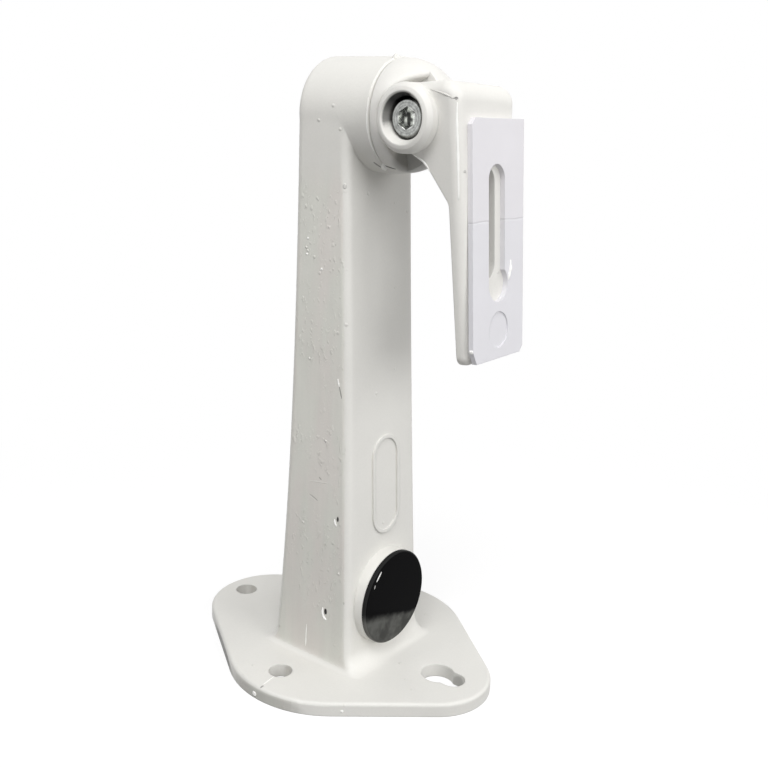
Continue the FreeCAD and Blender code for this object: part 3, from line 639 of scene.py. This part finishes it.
def plug_plastic():
    """Glossy black plastic with faint moulding waves, dust, a rim painted lighter as sheen, and a painted
    reflection on its lower third.
    """
    material, tree, shader, place = new_material("plug_plastic")
    waves = noise_at(tree, place, *PLUG_WAVES)
    dust = ranged(tree, noise_at(tree, place, *PLUG_DUST_NOISE), *PLUG_DUST_EDGE, 0.0, PLUG_DUST_SHARE)
    base = blend_colours(tree, dust, opaque(PLUG_PLASTIC), opaque(PLUG_DUST))

    parts = split(tree, place)
    behind = minus(tree, parts[1], PLUG_FACE_Y * MM)
    face = ranged(tree, behind, *metres(PLUG_FACE_EDGE), REFLECTION_ON_RIM, 1.0, smooth=True)
    rim = mask(tree, behind, *metres(PLUG_RIM_EDGE))
    reflection_noise = noise_at(tree, place, *REFLECTION_EDGE_NOISE)
    ragged = varied(tree, reflection_noise, *metres(REFLECTION_RAGGED))
    height = plus(tree, minus(tree, parts[2], product(tree, parts[0], -REFLECTION_SLOPE)), ragged)
    top = ranged(tree, parts[0], *metres(REFLECTION_SIDES), *metres((REFLECTION_Z + REFLECTION_CRISP, REFLECTION_Z + REFLECTION_SOFT)))
    low = mask(tree, height, top, (REFLECTION_Z - REFLECTION_DEPTH) * MM)
    blotch = noise_at(tree, place, *REFLECTION_BLOTCHES)
    blotch = ranged(tree, blotch, *REFLECTION_BLOTCH_EDGE, *REFLECTION_BLOTCH_TONE, smooth=True)

    # Painted sheen on the rim, then painted reflections low on the face and rim
    base = blend_colours(tree, rim, base, opaque(PLUG_RIM_SHEEN))
    base = blend_colours(tree, product(tree, low, face, blotch), base, opaque(PLUG_PAINTED_REFLECTION))
    base = blend_colours(tree, product(tree, rim, low, RIM_REFLECTION_SHARE), base, opaque(PLUG_RIM_REFLECTION))
    normal = bump(tree, waves, *PLUG_WAVE_BUMP, rounded(tree, PLUG_ROUNDING))
    base, normal = lay_marks(tree, place, base, normal, (), PLUG_HIGHLIGHTS)
    set_inputs(tree, shader, {"Base Color": base, "Normal": normal, "Specular IOR Level": PLUG_SPECULAR,
                              "Roughness": varied(tree, waves, *PLUG_ROUGHNESS)})
    return material


def screw_head(tree, place, base, dents, joint):
    """The base colour with turning marks painted as bands of sheen, painted glints and shade in the socket,
    and a shaded rim round a joint's axis.
    """
    radius = from_axis(tree, place, joint)[1]
    wobble = product(tree, dents, RING_WOBBLE)
    # Turning marks painted as light and dark bands of sheen
    ring = maths(tree, "SINE", plus(tree, product(tree, radius, RING_TURNS / MM), wobble))
    base = shaded(tree, base, ranged(tree, ring, -1.0, 1.0, *RING_SHEEN_TONE))
    # Painted glints and shade in the socket
    glint_and_shade = noise_at(tree, place, *SOCKET_GLINT_AND_SHADE_NOISE)
    tone = ranged(tree, glint_and_shade, *SOCKET_GLINT_AND_SHADE_RANGE, *SOCKET_GLINT_AND_SHADE_TONE, smooth=True)
    inside = mask(tree, radius, *metres(SOCKET_R))
    base = blend_colours(tree, inside, base, shaded(tree, opaque(SOCKET_METAL), tone))
    rim = product(tree, mask(tree, radius, *metres(RIM_R)), RIM_DARK)
    return blend_colours(tree, rim, base, opaque(DARK_MARK_AND_SHADE))


def plated_steel(name, colour, roughness, joint=None):
    """Bright plated steel with dents, and a screw's head round a joint's axis."""
    material, tree, shader, place = new_material(name)
    dents = noise_at(tree, place, *STEEL_DENTS)
    fine = noise_at(tree, place, *STEEL_FINE)
    base = shaded(tree, opaque(colour), ranged(tree, dents, *STEEL_DENT_RANGE, *STEEL_TONE))
    normal = bump(tree, dents, *STEEL_DENT_BUMP, rounded(tree, STEEL_ROUNDING))
    normal = bump(tree, fine, *STEEL_FINE_BUMP, normal)
    if joint:
        base = screw_head(tree, place, base, dents, joint)
    low, high = (roughness * share for share in STEEL_GLOSS_SPREAD)
    set_inputs(tree, shader, {"Base Color": base, "Normal": normal, "Metallic": 1.0,
                              "Roughness": varied(tree, dents, low, high)})
    return material


def dress(node, material):
    """Gives every material slot of a CAD node the same material."""
    mesh = frame["nodes"][node].data
    if not mesh.materials:
        mesh.materials.append(material)
    for index in range(len(mesh.materials)):
        mesh.materials[index] = material


def surface_of(node):
    """A CAD node's surface, to find places on it."""
    mesh = frame["nodes"][node].data
    return BVHTree.FromPolygons([v.co for v in mesh.vertices], [list(p.vertices) for p in mesh.polygons])


def seat(surface, place, way):
    """The point of a surface that is met near a place in mm, coming against the way out, and its normal."""
    way = Vector(way).normalized()
    start = Vector(place) * MM + way * SEAT_START * MM
    hit, normal = surface.ray_cast(start, -way, SEAT_REACH * MM)[:2]
    if hit is None:
        hit, normal = surface.find_nearest(Vector(place) * MM)[:2]
    return hit, normal


def new_piece(name, body, slot, material, shape):
    """An object made of a bmesh, smooth, with its material and its body. Its slot is not used."""
    mesh = bpy.data.meshes.new(name)
    bmesh.ops.recalc_face_normals(shape, faces=shape.faces)
    for face in shape.faces:
        face.smooth = True
    shape.to_mesh(mesh)
    shape.free()
    mesh.materials.append(material)
    piece = bpy.data.objects.new(name, mesh)
    bpy.context.scene.collection.objects.link(piece)
    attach(piece, body)
    return piece


def along(places, share):
    """The place at a share of the way along a line of places, rounded at its corners."""
    spot = share * (len(places) - 1)
    index = min(int(spot), len(places) - 2)
    before = Vector(places[max(index - 1, 0)])
    start, end = Vector(places[index]), Vector(places[index + 1])
    after = Vector(places[min(index + 2, len(places) - 1)])
    t = spot - index
    bend = (end - before) * (t * (1 - t) ** 2) - (after - start) * (t * t * (1 - t))
    return start * (1 - t) ** 2 * (1 + 2 * t) + end * t * t * (3 - 2 * t) + bend * 0.5


def burr_size(share, hit):
    """A burr's size at a share of its way: tapered to its ends, and ragged by the place."""
    fullness = math.sin(math.pi * (BURR_INSET + (1 - 2 * BURR_INSET) * share)) ** BURR_FULLNESS
    scale, amount = BURR_RAGGED
    return (BURR_END + (1 - BURR_END) * fullness) * (1 + amount * noise.noise(hit * scale))


def burr(name, body, node, material, slot, way, width, height, places):
    """A thin raised line that follows a surface, ragged along its top and tapered to its ends."""
    surface = surface_of(node)
    last = BURR_STEPS - 1
    hits = [seat(surface, along(places, i / last), way) for i in range(BURR_STEPS)]
    shape = bmesh.new()
    rings = []
    for i, (hit, normal) in enumerate(hits):
        onward = (hits[min(i + 1, last)][0] - hits[max(i - 1, 0)][0]).normalized()
        side = onward.cross(normal).normalized()
        size = burr_size(i / last, hit)
        ring = []
        for k in range(BURR_SIDES):
            turn = 2 * math.pi * k / BURR_SIDES
            out = math.cos(turn)
            rise = height * size * out if out > 0 else BURR_ROOT * out
            offset = side * math.sin(turn) * width * size / 2 + normal * rise
            ring.append(shape.verts.new(hit + offset * MM))
        rings.append(ring)
    for one, two in zip(rings, rings[1:]):
        for k in range(BURR_SIDES):
            after = (k + 1) % BURR_SIDES
            shape.faces.new((one[k], one[after], two[after], two[k]))
    for ring in (rings[0], rings[-1]):
        shape.faces.new(ring)
    return new_piece(name, body, slot, material, shape)


def lump(name, body, node, material, slot, way, place, radius):
    """A small uneven lump that is rooted in a surface."""
    hit, normal = seat(surface_of(node), place, way)
    shape = bmesh.new()
    bmesh.ops.create_icosphere(shape, subdivisions=LUMP_LEVELS, radius=1.0)
    turn = normal.to_track_quat("Z", "Y").to_matrix()
    scale, shift, amount = LUMP_RAGGED
    for vert in shape.verts:
        rough = 1 + amount * noise.noise(vert.co * scale + hit * shift)
        local = Vector((vert.co.x * rough, vert.co.y * rough, vert.co.z * LUMP_FLAT * rough))
        vert.co = hit + turn @ local * radius * MM
    return new_piece(name, body, slot, material, shape)


def direction(azimuth, elevation):
    """The way from the object towards a viewer or lamp at these angles, in degrees."""
    a, e = math.radians(azimuth), math.radians(elevation)
    return Vector((math.sin(a) * math.cos(e), -math.cos(a) * math.cos(e), math.sin(e)))


def place_lamps():
    """The lamps round the object, each turned towards it."""
    for name, lamp in LAMPS.items():
        way = direction(lamp["azimuth"], lamp["elevation"])
        data = bpy.data.lights.new(name, "AREA")
        data.shape = "SQUARE"
        data.size = LAMP_SIZE
        data.energy = lamp["level"] * math.pi ** 2 * LAMP_DISTANCE ** 2
        light = bpy.data.objects.new(name, data)
        light.location = AIM + way * LAMP_DISTANCE
        light.rotation_euler = way.to_track_quat("Z", "Y").to_euler()
        bpy.context.scene.collection.objects.link(light)


def seen_directly(tree):
    """1 for rays from the camera and for mirror and glass rays."""
    path = add(tree, "ShaderNodeLightPath").outputs
    direct = maths(tree, "MAXIMUM", path["Is Camera Ray"], path["Is Glossy Ray"])
    return maths(tree, "MAXIMUM", direct, path["Is Transmission Ray"])


def make_world():
    """White where it is seen, and the ambient level where it lights the object."""
    world = bpy.data.worlds.new("studio")
    bpy.context.scene.world = world
    world.use_nodes = True
    tree = world.node_tree
    strength = ranged(tree, seen_directly(tree), 0.0, 1.0, AMBIENT, 1.0)
    set_inputs(tree, tree.nodes["Background"], {"Color": (1.0, 1.0, 1.0, 1.0), "Strength": strength})


def floor_material():
    """White where it is seen, with the object's shadow near it, and a plain grey for the light it returns."""
    material = bpy.data.materials.new("floor")
    material.use_nodes = True
    tree = material.node_tree
    tree.nodes.remove(tree.nodes["Principled BSDF"])
    tone, bounced = (opaque([level] * 3) for level in (FLOOR_TONE, FLOOR_BOUNCE))
    place = add(tree, "ShaderNodeTexCoord").outputs["Object"]
    away = mask(tree, length(tree, place), *FLOOR_FADE)
    lit = add(tree, "ShaderNodeBsdfDiffuse", {"Color": tone}).outputs[0]
    glow = add(tree, "ShaderNodeEmission", {"Strength": FLOOR_GLOW}).outputs[0]
    near = add(tree, "ShaderNodeAddShader", {0: lit, 1: glow}).outputs[0]
    white = add(tree, "ShaderNodeEmission", {"Strength": 1.0}).outputs[0]
    bright = add(tree, "ShaderNodeMixShader", {0: away, 1: near, 2: white}).outputs[0]
    bounce = add(tree, "ShaderNodeBsdfDiffuse", {"Color": bounced}).outputs[0]
    picked = add(tree, "ShaderNodeMixShader", {0: seen_directly(tree), 1: bounce, 2: bright}).outputs[0]
    tree.links.new(picked, tree.nodes["Material Output"].inputs["Surface"])
    return material


def make_floor():
    """A square floor at the height of the wall face."""
    mesh = bpy.data.meshes.new("floor")
    half = FLOOR_SIDE / 2
    corners = [(-half, -half, 0.0), (half, -half, 0.0), (half, half, 0.0), (-half, half, 0.0)]
    mesh.from_pydata(corners, [], [(0, 1, 2, 3)])
    mesh.materials.append(floor_material())
    floor = bpy.data.objects.new("floor", mesh)
    bpy.context.scene.collection.objects.link(floor)


def place_camera():
    """The camera where the photograph was taken from."""
    back = direction(CAMERA_AZIMUTH, CAMERA_ELEVATION)
    azimuth = math.radians(CAMERA_AZIMUTH)
    level = Vector((math.cos(azimuth), math.sin(azimuth), 0.0))
    up = back.cross(level)
    turn = math.radians(CAMERA_ROLL)
    right = level * math.cos(turn) + up * math.sin(turn)
    up = up * math.cos(turn) - level * math.sin(turn)
    data = bpy.data.cameras.new("camera")
    data.lens = LENS
    data.sensor_width = SENSOR
    data.clip_start = CAMERA_NEAR
    camera = bpy.data.objects.new("camera", data)
    camera.matrix_world = Matrix.Translation(CAMERA_AT) @ Matrix((right, up, back)).transposed().to_4x4()
    bpy.context.scene.collection.objects.link(camera)
    bpy.context.scene.camera = camera


# The CAD nodes' materials
joints = {joint["name"]: joint for joint in frame["record"]["behaviour"]["joints"]}
roll, tilt = joints["knuckle_roll"], joints["head_tilt"]
arm_paint = paint("arm_paint", ARM_PAINT, ARM_MARKS_AND_SHADE, ARM_SCRATCHES_AND_SHADE, rough=FLANK_ROUGH)
knuckle_paint = paint("knuckle_paint", KNUCKLE_PAINT, KNUCKLE_SHADE, KNUCKLE_GAP_SHADE, specked=LESS_SPECKED)
head_paint = paint("head_paint", HEAD_PAINT, HEAD_MARKS, specked=LESS_SPECKED, eye=tilt)
dress("arm_casting", arm_paint)
dress("swivel_knuckle", knuckle_paint)
dress("camera_head", head_paint)
dress("camera_pad", pad_sheet())
dress("cable_plug", plug_plastic())
dress("roll_screw", plated_steel("roll_screw_steel", SCREW_METAL, SCREW_ROUGHNESS, roll))
dress("tilt_screw", plated_steel("tilt_screw_steel", SCREW_METAL, SCREW_ROUGHNESS, tilt))
washer_steel = plated_steel("washer_steel", WASHER_METAL, WASHER_ROUGHNESS)
for node in ("roll_washer", "tilt_washer"):
    dress(node, washer_steel)

# The small pieces on them
# White for bare metal, and for painted highlights
bare_and_highlight = paint("bare_and_highlight", BARE_AND_HIGHLIGHT, rounding=BURR_ROUNDING, specked=0.0)
painted = {"arm_casting": arm_paint, "camera_head": head_paint}
slots = {"arm_casting": "arm_paint", "camera_head": "head_paint", "camera_pad": "pad_foam"}
for make, pieces in ((burr, BURRS), (lump, LUMPS)):
    for name, (body, node, bare, *sizes) in pieces.items():
        make(name, body, node, bare_and_highlight if bare else painted[node], slots[node], *sizes)

place_lamps()
make_world()
make_floor()
place_camera()
bpy.context.scene.view_settings.view_transform = "Standard"
